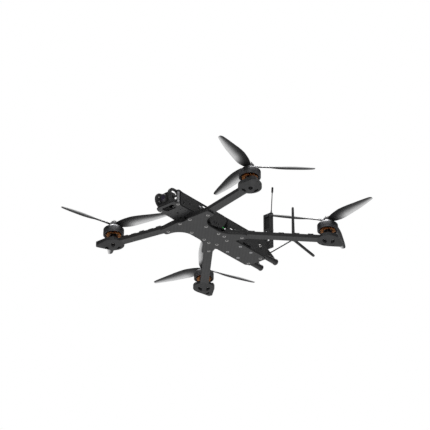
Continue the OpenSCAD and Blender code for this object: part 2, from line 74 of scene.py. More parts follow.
HEAD_R, HEAD_H, SCREW_R = 2.75, 1.7, 1.5
THREAD_R = SCREW_R - 0.08
ARM_SCREWS = [(41.7, -85.8), (10.6, -92.9), (35.1, 5.9), (16.4, -16), (10.6, -2.6)]
POSTS = [(18.4, -130.5), (10.6, -92.9), (10.6, -2.6), (12.8, 80.5)]
FRONT_POST, REAR_POST = POSTS[0], POSTS[-1]
POST_R = 2.5
SIDE_SCREW_Y, SIDE_SCREW_Z = 70, 17
PRESS_NUTS = [(13.7, 27.7), (13.7, 54.7)]
PRESS_NUT_R, PRESS_COLLAR_R, PRESS_NUT_H = 2.4, 3.2, 5
MOTOR_SCREW_CIRCLE = 9.5

STACK_X, STACK_Y = 15.25, (-59.3, -28.8)
LOW_BOARD_Z, HIGH_BOARD_Z = DECK_Z + 4.6, DECK_Z + 12.6
CAPACITOR = Vector((-3.4, 61, BOTTOM_T + 6.35))

PIVOT = Vector((0, -135, 25.5))
TILT = math.radians(16)
LENS_Z = -1.5

TUBE_X, TUBE_Z, TUBE_R, TUBE_BORE_R, TUBE_END_R, TUBE_L = 15.8, 7.2, 4.8, 3.2, 5.3, 26
WHIP_FOOT, WHIP_LEAN = Vector((24.5, 96, 88)), 4
STEM_FOOT, TEE, STEM_R = Vector((15.8, 95, 13)), Vector((15.8, 166.5, 71)), 1.2
LEVEL_TURN = 98


# ---- Materials ----------------------------------------------------------

class Paint:
    """A Principled material with short ways to wire patterns into it."""

    def __init__(self, name, colour, rough, metal=0.0, **sockets):
        self.material = bpy.data.materials.new(name)
        self.material.use_nodes = True
        self.tree = self.material.node_tree
        self.shader = next(n for n in self.tree.nodes if n.type == "BSDF_PRINCIPLED")
        self.set("Base Color", (*colour, 1))
        self.set("Roughness", rough)
        self.set("Metallic", metal)
        for socket, value in sockets.items():
            self.set(socket.replace("_", " "), value)
        self.coords = self.add("ShaderNodeTexCoord").outputs["Object"]
        self.height = None

    def set(self, socket, value):
        """Gives a socket of the shader a value or a link."""
        if isinstance(value, bpy.types.NodeSocket):
            self.tree.links.new(value, self.shader.inputs[socket])
        else:
            self.shader.inputs[socket].default_value = value

    def add(self, kind, inputs=None, **settings):
        """A new node with its inputs set or linked."""
        node = self.tree.nodes.new(kind)
        for key, value in settings.items():
            setattr(node, key, value)
        for key, value in (inputs or {}).items():
            if isinstance(value, bpy.types.NodeSocket):
                self.tree.links.new(value, node.inputs[key])
            else:
                node.inputs[key].default_value = value
        return node

    def math(self, operation, a, b=0.0):
        """The result of one sum on values or links."""
        return self.add("ShaderNodeMath", {0: a, 1: b}, operation=operation).outputs[0]

    def noise(self, scale, detail=3.0, stretch=(1, 1, 1)):
        """Noise whose grains are about 1 / scale millimetres wide."""
        place = self.add("ShaderNodeMapping", {"Vector": self.coords, "Scale": stretch})
        return self.add("ShaderNodeTexNoise", {
            "Vector": place.outputs[0], "Scale": scale / MM, "Detail": detail}).outputs["Fac"]

    def span(self, value, low, high):
        """value from 0..1 brought to low..high."""
        return self.add("ShaderNodeMapRange", {
            "Value": value, "To Min": low, "To Max": high}).outputs["Result"]

    def ease(self, value, start, end):
        """0 up to start, rising smoothly to 1 at end."""
        return self.add("ShaderNodeMapRange", {
            "Value": value, "From Min": start, "From Max": end, "To Min": 0.0, "To Max": 1.0},
            interpolation_type="SMOOTHSTEP").outputs["Result"]

    def shades(self, factor, *stops):
        """Colours along factor: (place, (r, g, b)) each."""
        ramp = self.add("ShaderNodeValToRGB", {"Fac": factor})
        band = ramp.color_ramp
        while len(band.elements) < len(stops):
            band.elements.new(0.5)
        for element, (place, colour) in zip(band.elements, stops):
            element.position = place
            element.color = (*colour, 1)
        return ramp.outputs["Color"]

    def mix(self, factor, a, b):
        """Colour a where factor is 0 and colour b where it is 1."""
        node = self.add("ShaderNodeMix", data_type="RGBA")
        for socket, value in ((0, factor), (6, a), (7, b)):
            if isinstance(value, bpy.types.NodeSocket):
                self.tree.links.new(value, node.inputs[socket])
            else:
                node.inputs[socket].default_value = value
        return node.outputs[2]

    def bump(self, height, depth, strength=1.0):
        """Relief of about depth millimetres."""
        inputs = {"Height": height, "Distance": depth * MM, "Strength": strength}
        if self.height is not None:
            inputs["Normal"] = self.height
        self.height = self.add("ShaderNodeBump", inputs).outputs["Normal"]
        self.set("Normal", self.height)

    def axis(self, letter):
        """One of the object's own coordinates, in metres."""
        return self.add("ShaderNodeSeparateXYZ", {0: self.coords}).outputs[letter]


def grey(v):
    """A grey with a trace of blue."""
    return (v, v, v * 1.04)


def make_carbon():
    """Twill-woven carbon sheet, matt on its faces, with stacked plies on its edges."""
    p = Paint("carbon", grey(0.03), 0.42, Specular_IOR_Level=0.5)
    tow = 1.8 * MM
    across = p.math("DIVIDE", p.axis("X"), tow)
    along = p.math("DIVIDE", p.axis("Y"), tow)
    step = p.math("ADD", p.math("FLOOR", across), p.math("FLOOR", along))
    warp = p.math("LESS_THAN", p.math("FLOORED_MODULO", step, 4.0), 2.0)
    ridge_a = p.math("SINE", p.math("MULTIPLY", p.math("FRACT", across), math.pi))
    ridge_b = p.math("SINE", p.math("MULTIPLY", p.math("FRACT", along), math.pi))
    ridge = p.add("ShaderNodeMix", {0: warp, 2: ridge_a, 3: ridge_b}).outputs[0]
    weave = p.shades(warp, (0.0, grey(0.024)), (1.0, grey(0.031)))
    normal = p.add("ShaderNodeNewGeometry").outputs["Normal"]
    upward = p.math("ABSOLUTE", p.add("ShaderNodeSeparateXYZ", {0: normal}).outputs["Z"])
    face = p.math("GREATER_THAN", upward, 0.6)
    plies = p.noise(2.5, 2.0, (0.05, 0.05, 1.0))
    edge = p.shades(plies, (0.3, grey(0.012)), (0.7, grey(0.03)))
    p.set("Base Color", p.mix(face, edge, weave))
    p.set("Roughness", p.span(p.noise(0.08, 4.0), 0.36, 0.52))
    p.bump(p.math("MULTIPLY", ridge, face), 0.02, 0.5)
    p.bump(p.math("MULTIPLY", plies, p.math("SUBTRACT", 1.0, face)), 0.06, 0.6)
    return p


def make_printed():
    """Flexible plastic laid down in thin layers."""
    value, rough, layer = 0.02, 0.5, 0.3
    p = Paint("printed_tpu", grey(value), rough, Sheen_Weight=0.15, Sheen_Roughness=0.4)
    layers = p.math("SINE", p.math("MULTIPLY", p.axis("Z"), 2 * math.pi / (layer * MM)))
    drift = p.noise(0.12, 4.0)
    p.set("Base Color", p.shades(drift, (0.3, grey(value * 0.8)), (0.75, grey(value * 1.35))))
    p.set("Roughness", p.span(p.noise(0.3, 3.0), rough - 0.08, rough + 0.12))
    p.bump(layers, 0.02, 0.5)
    p.bump(p.noise(0.9, 2.0), 0.03, 0.5)
    return p


def make_moulded(name, value, rough=0.4, grain=1.6, **sockets):
    """Fine-grained moulded plastic or lacquer."""
    p = Paint(name, grey(value), rough, **sockets)
    drift = p.noise(0.1, 4.0)
    p.set("Base Color", p.shades(drift, (0.3, grey(value * 0.85)), (0.7, grey(value * 1.2))))
    p.set("Roughness", p.span(p.noise(0.5, 3.0), rough - 0.06, rough + 0.1))
    p.bump(p.noise(grain, 3.0), 0.02, 0.5)
    return p


def make_metal(name, colour, rough, stretch=(1, 1, 1), scale=1.2):
    """Machined metal with fine tool marks and slightly uneven polish."""
    p = Paint(name, colour, rough, 1.0)
    marks = p.noise(scale, 4.0, stretch)
    worn = tuple(c * 0.8 for c in colour)
    p.set("Base Color", p.shades(marks, (0.3, worn), (0.7, colour)))
    p.set("Roughness", p.span(marks, max(rough - 0.08, 0.05), rough + 0.1))
    p.bump(marks, 0.01, 0.5)
    return p


def make_copper():
    """Enamelled winding wire."""
    p = Paint("copper", (0.75, 0.3, 0.09), 0.3, 0.85, Coat_Weight=0.5, Coat_Roughness=0.15)
    drift = p.noise(0.6)
    p.set("Base Color", p.shades(drift, (0.25, (0.5, 0.16, 0.04)), (0.75, (0.9, 0.42, 0.13))))
    p.set("Roughness", p.span(p.noise(1.5), 0.22, 0.42))
    return p


def make_blade():
    """Smoked plastic: dense along the thick leading edge and the root, clear at the trailing edge.

    The piece's UV holds the place across the blade in U and along it in V."""
    p = Paint("smoke_blade", grey(0.03), 0.5, Specular_IOR_Level=0.3)
    uv = p.add("ShaderNodeUVMap", uv_map="blade").outputs["UV"]
    parts = p.add("ShaderNodeSeparateXYZ", {0: uv}).outputs
    cloud = p.span(p.noise(0.05, 2.0), -0.04, 0.04)
    across = p.math("ADD", parts["X"], cloud)
    thin = p.ease(across, 0.12, 0.95)
    out = p.ease(parts["Y"], 0.08, 0.4)
    clear = p.math("MULTIPLY", thin, out)
    p.set("Base Color", p.shades(clear, (0.0, grey(0.022)), (0.35, grey(0.06)),
                                 (0.7, grey(0.13)), (1.0, grey(0.2))))
    p.set("Alpha", p.span(clear, 1.0, 0.3))
    p.set("Roughness", p.span(p.noise(0.1), 0.45, 0.55))
    return p


def make_braid():
    """Braided sleeve: two families of slanted threads."""
    p = Paint("wire_sleeve", grey(0.02), 0.6, Sheen_Weight=0.3)
    flow = p.math("ADD", p.axis("X"), p.axis("Z"))
    cross = p.math("SUBTRACT", p.axis("Y"), p.axis("Z"))
    pitch = 2 * math.pi / (1.1 * MM)
    a = p.math("SINE", p.math("MULTIPLY", p.math("ADD", flow, cross), pitch))
    b = p.math("SINE", p.math("MULTIPLY", p.math("SUBTRACT", flow, cross), pitch))
    threads = p.span(p.math("MULTIPLY", a, b), 0.0, 1.0)
    p.set("Base Color", p.shades(threads, (0.2, grey(0.01)), (0.8, grey(0.05))))
    p.bump(threads, 0.12, 0.7)
    p.bump(p.noise(0.4), 0.2, 0.5)
    return p


def make_board():
    """Dark circuit board under solder mask, with faint tracks."""
    p = Paint("circuit_board", (0.01, 0.014, 0.02), 0.32, Coat_Weight=0.3)
    cells = p.add("ShaderNodeTexVoronoi", {
        "Vector": p.coords, "Scale": 0.45 / MM}, distance="MANHATTAN").outputs["Distance"]
    tracks = p.math("GREATER_THAN", p.math("SINE", p.math("MULTIPLY", cells, 26.0)), 0.55)
    p.set("Base Color", p.mix(tracks, (0.008, 0.012, 0.018, 1), (0.018, 0.03, 0.034, 1)))
    p.bump(tracks, 0.02, 0.5)
    p.set("Roughness", p.span(p.noise(0.2), 0.25, 0.42))
    return p


def make_lens():
    """Coated glass with a faint violet cast."""
    p = Paint("lens", (0.01, 0.012, 0.03), 0.05, Coat_Weight=1.0, Coat_Roughness=0.02,
              Specular_IOR_Level=0.7)
    cast = p.noise(0.1, 2.0)
    p.set("Base Color", p.shades(cast, (0.35, (0.005, 0.008, 0.02)), (0.7, (0.03, 0.015, 0.05))))
    return p


def make_led():
    """A faintly glowing green light."""
    p = Paint("led_green", (0.02, 0.5, 0.08), 0.25, Emission_Strength=0.12)
    spots = p.shades(p.noise(0.6, 2.0), (0.3, (0.0, 0.35, 0.04)), (0.7, (0.1, 0.9, 0.2)))
    p.set("Base Color", spots)
    p.set("Emission Color", spots)
    return p


CARBON = make_carbon()
PRINTED = make_printed()
ALUMINIUM = make_metal("bright_aluminium", (0.82, 0.82, 0.84), 0.28, (1, 1, 0.1))
MOTOR = make_metal("motor_grey", grey(0.16), 0.42, (0.1, 0.1, 1), 0.8)
BASE_METAL = make_metal("motor_base_metal", grey(0.07), 0.42)
STEEL = make_metal("steel", (0.62, 0.61, 0.6), 0.25)
COPPER = make_copper()
BLADE = make_blade()
HUB = make_moulded("blade_hub", 0.14, 0.35)
CAMERA = make_moulded("camera_black", 0.016, 0.38, 2.0)
LENS = make_lens()
BOARD = make_board()
CHIPS = make_moulded("chip_black", 0.02, 0.45, 2.5)
HEAT_SINK = make_metal("heat_sink", grey(0.12), 0.42)
SLEEVE = make_moulded("capacitor_sleeve", 0.03, 0.28, 0.8, Coat_Weight=0.3)
LED = make_led()
ANTENNA = make_moulded("antenna_black", 0.018, 0.55, 3.0)
BRAID = make_braid()
TIE = make_moulded("tie_nylon", 0.022, 0.4, 1.5)
WHITE_TIE = make_moulded("tie_white", 0.6, 0.45, 1.5)
# Nickel magnets given a dark grey: painted shade for the hollow inside the bell
SHADED_MAGNET = make_metal("magnet_nickel_painted_shade", grey(0.14), 0.35)


# ---- Mesh building ------------------------------------------------------

def ring(radius, z, steps=48):
    """A ring of points along a circle."""
    return [Vector((radius * math.cos(2 * math.pi * i / steps),
                    radius * math.sin(2 * math.pi * i / steps), z)) for i in range(steps)]


def hexagon(radius, z, steps=48):
    """A ring of points along a hexagon with that corner radius."""
    flat = radius * math.cos(math.pi / 6)
    points = []
    for i in range(steps):
        a = 2 * math.pi * i / steps
        r = flat / math.cos((a + math.pi / 6) % (math.pi / 3) - math.pi / 6)
        points.append(Vector((r * math.cos(a), r * math.sin(a), z)))
    return points


def rounded(half_x, half_y, corner, z, per_corner=5, centre=(0, 0)):
    """A ring of points along a rounded rectangle."""
    points = []
    for q, (sx, sy) in enumerate(((1, 1), (-1, 1), (-1, -1), (1, -1))):
        for i in range(per_corner + 1):
            a = math.pi / 2 * (q + i / per_corner)
            points.append(Vector((centre[0] + sx * (half_x - corner) + corner * math.cos(a),
                                  centre[1] + sy * (half_y - corner) + corner * math.sin(a), z)))
    return points


SMOOTH = 35


class Shape:
    """Collects lofts, tubes and boxes in millimetres and makes one piece of them."""

    def __init__(self):
        self.verts, self.faces, self.uvs = [], [], {}

    def loft(self, rings, at=None, loop=False):
        """A skin over rings of points: closed at both ends, or joined into a loop."""
        at = at or Matrix()
        base, count = len(self.verts), len(rings[0])
        for r in rings:
            self.verts.extend(at @ Vector(p) for p in r)
        pairs = list(zip(range(len(rings)), range(1, len(rings))))
        if loop:
            pairs.append((len(rings) - 1, 0))
        for i, j in pairs:
            for k in range(count):
                n = (k + 1) % count
                self.faces.append([base + i * count + k, base + i * count + n,
                                   base + j * count + n, base + j * count + k])
        if not loop:
            self.faces.append([base + k for k in range(count)][::-1])
            self.faces.append([base + (len(rings) - 1) * count + k for k in range(count)])
        return base

    def lathe(self, profile, at=None, steps=48, loop=False):
        """A turned solid. profile is (radius, z) pairs."""
        return self.loft([ring(r, z, steps) for r, z in profile], at, loop)

    def tube(self, path, radius, steps):
        """A rod along path. radius is a number or a function of the share of the way."""
        path = [Vector(p) for p in path]
        rings, side = [], None
        for i, p in enumerate(path):
            ahead = (path[min(i + 1, len(path) - 1)] - path[max(i - 1, 0)]).normalized()
            if side is None:
                side = ahead.orthogonal().normalized()
            side = (side - ahead * side.dot(ahead)).normalized()
            up = ahead.cross(side)
            share = i / (len(path) - 1)
            r = radius(share) if callable(radius) else radius
            rings.append([p + r * (math.cos(a) * side + math.sin(a) * up)
                          for a in (2 * math.pi * k / steps for k in range(steps))])
        return self.loft(rings)

    def box(self, lo, hi, edge, at=None):
        """A block with softened edges."""
        lo, hi = Vector(lo), Vector(hi)
        mid, half = (lo + hi) / 2, (hi - lo) / 2
        edge = min(edge, half.x * 0.49, half.y * 0.49, half.z * 0.49)
        smallest, steps = 0.01, 2
        place = (at or Matrix()) @ Matrix.Translation((mid.x, mid.y, 0))
        turns = [math.pi / 2 * k / steps for k in range(steps + 1)]
        rings = [(edge * (1 - math.sin(a)), lo.z + edge * (1 - math.cos(a))) for a in turns]
        rings += [(edge * (1 - math.sin(a)), hi.z - edge * (1 - math.cos(a))) for a in turns[::-1]]
        self.loft([rounded(half.x - inset, half.y - inset, max(edge - inset, smallest), z, 3)
                   for inset, z in rings], place)

    def piece(self, name, paint, body=AIRFRAME, smooth=SMOOTH, slot=None, replaces=()):
        """One object of what was collected. smooth is the sharpest angle shaded smooth."""
        mesh = bpy.data.meshes.new(name)
        mesh.from_pydata([v * MM for v in self.verts], [], self.faces)
        if self.uvs:
            layer = mesh.uv_layers.new(name="blade")
            for loop in mesh.loops:
                layer.data[loop.index].uv = self.uvs.get(loop.vertex_index, (0, 0))
        bm = bmesh.new()
        bm.from_mesh(mesh)
        bmesh.ops.recalc_face_normals(bm, faces=bm.faces)
        bm.to_mesh(mesh)
        bm.free()
        return settle(bpy.data.objects.new(name, mesh), paint, body, smooth, replaces)


def settle(obj, paint, body, smooth, replaces=()):
    """Links a finished piece, shades it and ties it to its body."""
    scene.collection.objects.link(obj)
    obj.data.materials.clear()
    obj.data.materials.append(paint.material)
    obj.data.shade_smooth()
    obj.data.set_sharp_from_angle(angle=math.radians(smooth))
    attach(obj, body)
    if replaces:
        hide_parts(*replaces)
    return obj


def softened(node, width, paint, body=AIRFRAME, segments=2):
    """A copy of a CAD node with its edges rounded, which stands for it."""
    mesh = nodes[node].data.copy()
    bm = bmesh.new()
    bm.from_mesh(mesh)
    bmesh.ops.remove_doubles(bm, verts=bm.verts, dist=0.002 * MM)
    bmesh.ops.dissolve_limit(bm, angle_limit=math.radians(1.0), verts=bm.verts, edges=bm.edges)
    bm.to_mesh(mesh)
    bm.free()
    obj = bpy.data.objects.new(node + "_part", mesh)
    settle(obj, paint, body, SMOOTH, (node,))
    bevel = obj.modifiers.new("edges", "BEVEL")
    bevel.width, bevel.segments = width * MM, segments
    bevel.limit_method, bevel.angle_limit = "ANGLE", math.radians(30)
    bevel.use_clamp_overlap = True
    obj.modifiers.new("shading", "WEIGHTED_NORMAL").keep_sharp = True
    return obj


def at(x, y, z=0.0, turn=0.0):
    """A place in the frame, turned by degrees about +Z."""
    return Matrix.Translation((x, y, z)) @ Matrix.Rotation(math.radians(turn), 4, "Z")


# Turns a shape's +Z towards the aircraft's tail, or towards its nose
BACKWARD = Matrix.Rotation(-math.pi / 2, 4, "X")
FORWARD = Matrix.Rotation(math.pi / 2, 4, "X")


def mirrored(spots):
    """Each (x, y) spot and its mirror image across the centre line."""
    return [(s * x, y) for x, y in spots for s in (1, -1)]


# ---- Camera, light and floor --------------------------------------------

AMBIENT = 0.12


def make_camera():
    """A long lens below the aircraft, in front of its left side."""
    azimuth, elevation = math.radians(40.6998), math.radians(-29.3294)
    roll = math.radians(0.3631)
    distance, lens = 2.71912, 139.49
    aside, down = 0.012992, -0.014286
    back = Vector((math.sin(azimuth) * math.cos(elevation),
                   -math.cos(azimuth) * math.cos(elevation), math.sin(elevation)))
    level = (-back).cross(Vector((0, 0, 1))).normalized()
    rise = level.cross(-back)
    right = math.cos(roll) * level + math.sin(roll) * rise
    up = right.cross(-back)
    target = Vector((0, 0, PROP_Z * MM))
    place = target + back * distance - right * aside - up * down
    camera = bpy.data.objects.new("view", bpy.data.cameras.new("view"))
    camera.data.lens, camera.data.sensor_width = lens, 36
    camera.data.clip_start, camera.data.clip_end = 0.05, 50
    camera.matrix_world = Matrix.Translation(place) @ Matrix(
        (right, up, back)).transposed().to_4x4()
    scene.collection.objects.link(camera)
    scene.camera = camera


def make_light(name, place, target, size, power):
    """A soft round lamp of that size in metres and power in watts."""
    lamp = bpy.data.lights.new(name, "AREA")
    lamp.shape, lamp.size, lamp.energy = "DISK", size, power
    obj = bpy.data.objects.new(name, lamp)
    obj.location = place
    obj.rotation_euler = (Vector(target) - Vector(place)).to_track_quat("-Z", "Y").to_euler()
    scene.collection.objects.link(obj)


def make_world():
    """A backdrop that shows pure white and lights the aircraft more softly."""
    world = bpy.data.worlds.new("studio")
    scene.world = world
    world.use_nodes = True
    background = world.node_tree.nodes["Background"]
    background.inputs["Color"].default_value = (1, 1, 1, 1)
    seen = world.node_tree.nodes.new("ShaderNodeLightPath").outputs["Is Camera Ray"]
    level = world.node_tree.nodes.new("ShaderNodeMapRange")
    level.inputs["To Min"].default_value = AMBIENT
    world.node_tree.links.new(seen, level.inputs["Value"])
    world.node_tree.links.new(level.outputs["Result"], background.inputs["Strength"])
    scene.view_settings.view_transform = "Standard"


def make_studio():
    """Lamps, and a wide pale floor under the hovering aircraft and the low camera."""
    make_light("key", (-0.7, 0.9, 2.2), (0, 0, 0), 1.4, 45)
    make_light("fill", (1.6, -1.9, 0.2), (0, 0, 0), 1.2, 7)
    make_light("floor_wash", (0.0, 0.0, 1.6), (0, 0, -1), 2.0, 45)
    size, depth, rim = 6.0, -1.62, 96
    turns = [2 * math.pi * i / rim for i in range(rim)]
    mesh = bpy.data.meshes.new("studio_floor")
    bm = bmesh.new()
    bm.faces.new([bm.verts.new((size * math.cos(a), size * math.sin(a), depth)) for a in turns])
    bm.to_mesh(mesh)
    bm.free()
    floor = bpy.data.objects.new("studio_floor", mesh)
    paint = Paint("floor_paint", (0.92, 0.92, 0.92), 0.7, Emission_Strength=0.3)
    paint.set("Emission Color", (1, 1, 1, 1))
    paint.set("Roughness", paint.span(paint.noise(0.002), 0.6, 0.8))
    mesh.materials.append(paint.material)
    scene.collection.objects.link(floor)


make_camera()
make_world()
make_studio()


# ---- Fasteners ----------------------------------------------------------

# Dark insets that all flush screws share: painted shade filling each hex socket, where the real
# hollow is only shaded
SOCKET_SHADE = Shape()


def thread(shape, place, start, reach, radius=THREAD_R):
    """A grooved rod from z = start up to z = reach."""
    pitch, groove = 0.5, 0.16
    rows = max(int((reach - start) / pitch), 4)
    shape.lathe([(radius - (groove if i % 2 else 0), start + (reach - start) * i / rows)
                 for i in range(rows)] + [(radius * 0.7, reach)], place, 20)


def flush_screw(shape, place, reach):
    """A countersunk screw with its flat head in a plate's face at z = 0, reaching up, with a dark
    inset of painted shade in its socket.
    """
    socket = 1.95
    shape.loft([hexagon(socket, 1.1), hexagon(socket, 0.15), ring(socket * 1.04, 0.02),
                ring(HEAD_R - 0.12, 0.0), ring(HEAD_R, 0.1), ring(THREAD_R, HEAD_H)], place)
    thread(shape, place, 1.4, reach)
    # Painted shade: a dark solid fills the socket in place of the shaded hollow
    SOCKET_SHADE.loft([hexagon(socket * 0.97, 0.9), hexagon(socket * 0.97, 0.12)], place)


def button_screw(shape, place, reach, radius=HEAD_R, height=HEAD_H):
    """A button-head screw whose head hangs below its seat at z = 0, reaching up."""
    socket = radius * 0.42
    dome = [ring(radius, 0), ring(radius, -height * 0.25), ring(radius * 0.93, -height * 0.62),
            ring(radius * 0.78, -height * 0.9), ring(radius * 0.6, -height),
            hexagon(socket * 1.12, -height), hexagon(socket, -height * 0.9),
            hexagon(socket, -height * 0.25)]
    shape.loft(dome[::-1], place)
    thread(shape, place, 0, reach, min(THREAD_R, radius * 0.6))


def knurled(radius, z, depth=0.03):
    """A circle whose every second point is drawn in."""
    points = []
    for i, p in enumerate(ring(radius, z)):
        k = 1 - (depth if i % 2 else 0)
        points.append(Vector((p.x * k, p.y * k, p.z)))
    return points


def socket_screw(shape, place, reach):
    """A cap screw with a knurled head below its seat."""
    socket = HEAD_R * 0.45
    rows = [knurled(HEAD_R, 0), knurled(HEAD_R, -HEAD_H * 0.88), knurled(HEAD_R * 0.93, -HEAD_H),
            hexagon(socket * 1.1, -HEAD_H), hexagon(socket, -HEAD_H * 0.94),
            hexagon(socket, -HEAD_H * 0.35)]
    shape.loft(rows[::-1], place)
    shape.lathe([(THREAD_R, 0), (THREAD_R, reach)], place, 20)


def hex_nut(shape, place, radius, height, hole):
    """A chamfered hex nut standing on z = 0."""
    chamfer = radius * 0.1
    rings = [ring(hole, 0), ring(radius * 0.86, 0), hexagon(radius * 0.97, 0),
             hexagon(radius, chamfer), hexagon(radius, height - chamfer),
             hexagon(radius * 0.97, height), ring(radius * 0.84, height), ring(hole, height)]
    shape.loft(rings, place, loop=True)


def make_screws():
    """Every fastener of the frame."""
    flip = Matrix.Rotation(math.pi, 4, "X")
    nut_hole = SCREW_R - 0.1
    s = Shape()
    for x, y in mirrored(ARM_SCREWS):
        flush_screw(s, at(x, y), DECK_Z + 2)
        if abs(x) > BODY_HALF:
            hex_nut(s, at(x, y, MID_Z), 3, 2.4, nut_hole)
    for x, y in mirrored([REAR_POST]):
        flush_screw(s, at(x, y), 8)
    for x, y in mirrored([FRONT_POST]):
        flush_screw(s, at(x, y, MID_Z), 8)
    for x, y in mirrored(POSTS):
        flush_screw(s, at(x, y, ROOF_Z) @ flip, 7)
    for sign in (1, -1):
        inward = Matrix.Rotation(-sign * math.pi / 2, 4, "Y")
        button_screw(s, at(sign * BODY_HALF, SIDE_SCREW_Y, SIDE_SCREW_Z) @ inward, 4)
    s.piece("plate_screws_part", STEEL, slot="steel", replaces=["plate_screws"])

    s = Shape()
    for x, y in mirrored([(STACK_X, y) for y in STACK_Y]):
        flush_screw(s, at(x, y), DECK_Z + 17)
        for z, height in ((DECK_Z, 3), (LOW_BOARD_Z, 6.4), (HIGH_BOARD_Z, 3)):
            hex_nut(s, at(x, y, z), 2.5, height, nut_hole)
    s.piece("stack_bolts_part", STEEL, slot="steel", replaces=["stack_bolts"])
    # The dark socket insets, in tie nylon, are painted shade
    SOCKET_SHADE.piece("screw_socket_shade", TIE, slot="steel")

    s = Shape()
    body_r, collar_r, top = PRESS_NUT_R, PRESS_COLLAR_R, PRESS_NUT_H
    for x, y in mirrored(PRESS_NUTS):
        s.lathe([(SCREW_R, 0), (body_r, 0.05), (body_r, BOTTOM_T), (collar_r - 0.1, BOTTOM_T),
                 (collar_r, BOTTOM_T + 0.1), (collar_r, top - 0.15), (collar_r - 0.15, top),
                 (SCREW_R, top)], at(x, y), 36, loop=True)
    s.piece("press_nuts_part", ALUMINIUM, slot="steel", replaces=["press_nuts"])

    s = Shape()
    for name, x, y, *rest in MOTORS:
        for q in range(4):
            a = math.radians(90 * q + (45 if y < 0 else 0))
            socket_screw(s, at(x + MOTOR_SCREW_CIRCLE * math.cos(a),
                               y + MOTOR_SCREW_CIRCLE * math.sin(a), BOTTOM_T), 8.5)
    s.piece("motor_screws_part", STEEL, slot="steel", replaces=["motor_screws"])


# ---- Plates, arms, guards and posts -------------------------------------

def post_profile(tall):
    """Outline of a post with a groove near each end."""
    core, edge, slope = 2.2, 0.25, 0.25
    profile = [(SCREW_R, 0), (POST_R - 0.2, 0), (POST_R, edge)]
    for share in (1, 5):
        low, high = tall * share / 6 - 0.5, tall * share / 6 + 0.5
        profile += [(POST_R, low), (core, low + slope), (core, high - slope), (POST_R, high)]
    return profile + [(POST_R, tall - edge), (POST_R - 0.2, tall), (SCREW_R, tall)]


def make_frame():
    """Carbon plates and arms, printed guards and the posts between the plates."""
    for node in ("bottom_plate", "middle_plate", "top_plate"):
        softened(node, 0.25, CARBON)
    for name, *rest in MOTORS:
        softened("arm_" + name, 0.45, CARBON)
        softened("guard_" + name, 0.8, PRINTED, segments=3)
    softened("plate_spacers", 0.2, PRINTED)
    s = Shape()
    for x, y in mirrored(POSTS):
        foot = BOTTOM_T if y == REAR_POST[1] else DECK_Z
        s.lathe(post_profile(TOP_Z - foot), at(x, y, foot), 32, loop=True)
    s.piece("posts_part", ALUMINIUM, slot="bright_aluminium", replaces=["posts"])


# ---- Motors -------------------------------------------------------------

BELL_STEPS = 72


def bell_shape(shape, place):
    """Turned bell with six windows in its shoulder, made as outer and inner skins."""
    sector, window = BELL_STEPS // 6, range(2, 10)
    neck = BELL_R - 0.2
    outer = [(15.3, RIM_Z), (BELL_R - 0.25, RIM_Z), (BELL_R, RIM_Z + 0.25), (BELL_R, RIM_Z + 2.1),
             (neck, RIM_Z + 2.3), (neck, RIM_Z + 2.7), (BELL_R, RIM_Z + 2.9), (BELL_R, RIM_Z + 10.3),
             (neck, RIM_Z + 10.75), (15.9, PROP_Z - 3.9), (11.9, PROP_Z - 0.85),
             (11.0, PROP_Z - 0.25), (10.4, PROP_Z), (3.2, PROP_Z), (2.6, PROP_Z - 0.3)]
    inner = [(2.6, PROP_Z - 3.0), (10.2, PROP_Z - 3.0), (11.2, PROP_Z - 3.2), (14.4, RIM_Z + 10.4),
             (15.3, RIM_Z + 9.8)]
    profile = outer + inner
    count = len(profile)
    # The windows pierce the outer skin's row 9 and the inner skin's row 17, which faces it
    out, back = 9, 17
    base = len(shape.verts)
    for r, z in profile:
        shape.verts.extend(place @ p for p in ring(r, z, BELL_STEPS))

    def corner(row, k):
        return base + (row % count) * BELL_STEPS + k % BELL_STEPS

    def quad(*corners):
        shape.faces.append([corner(row, k) for row, k in corners])

    for row in range(count):
        for k in range(BELL_STEPS):
            if row not in (out, back) or k % sector not in window:
                quad((row, k), (row, k + 1), (row + 1, k + 1), (row + 1, k))
    for k in range(BELL_STEPS):
        if k % sector in window:
            quad((out, k), (out, k + 1), (back + 1, k + 1), (back + 1, k))
            quad((out + 1, k), (out + 1, k + 1), (back, k + 1), (back, k))
        if k % sector in (window[0], window[-1] + 1):
            quad((out, k), (out + 1, k), (back, k), (back + 1, k))


def make_bell(name, place):
    """Bell and shaft of one motor, with the magnets inside."""
    rotor = "rotor_" + name
    s = Shape()
    bell_shape(s, place)
    s.lathe([(2.0, MID_Z + 0.5), (2.45, MID_Z + 1), (SHAFT_R, PROP_Z + 1), (SHAFT_R, PROP_Z + 9.2),
             (2.2, PROP_Z + 9.6), (1.2, PROP_Z + 9.6), (0.9, PROP_Z + 8.8)], place, 32)
    # Thread of the shaft above the hub
    pitch, turns = 0.28, 9
    for k in range(turns):
        z = PROP_Z + HUB_H + pitch * k
        s.lathe([(SHAFT_R - 0.2, z), (SHAFT_R, z + pitch / 2)], place, 24)
    s.piece("bell_%s_part" % name, MOTOR, rotor, slot="motor_grey", replaces=["bell_" + name])
    s = Shape()
    # The magnets' dark grey is painted shade from the bell over them
    for i in range(MAGNETS):
        s.box((14.2, -2.6, RIM_Z + 1.2), (15.5, 2.6, RIM_Z + 9.6), 0.15,
              place @ at(0, 0, 0, 360 * i / MAGNETS))
    s.piece("magnets_" + name, SHADED_MAGNET, rotor, slot="steel")


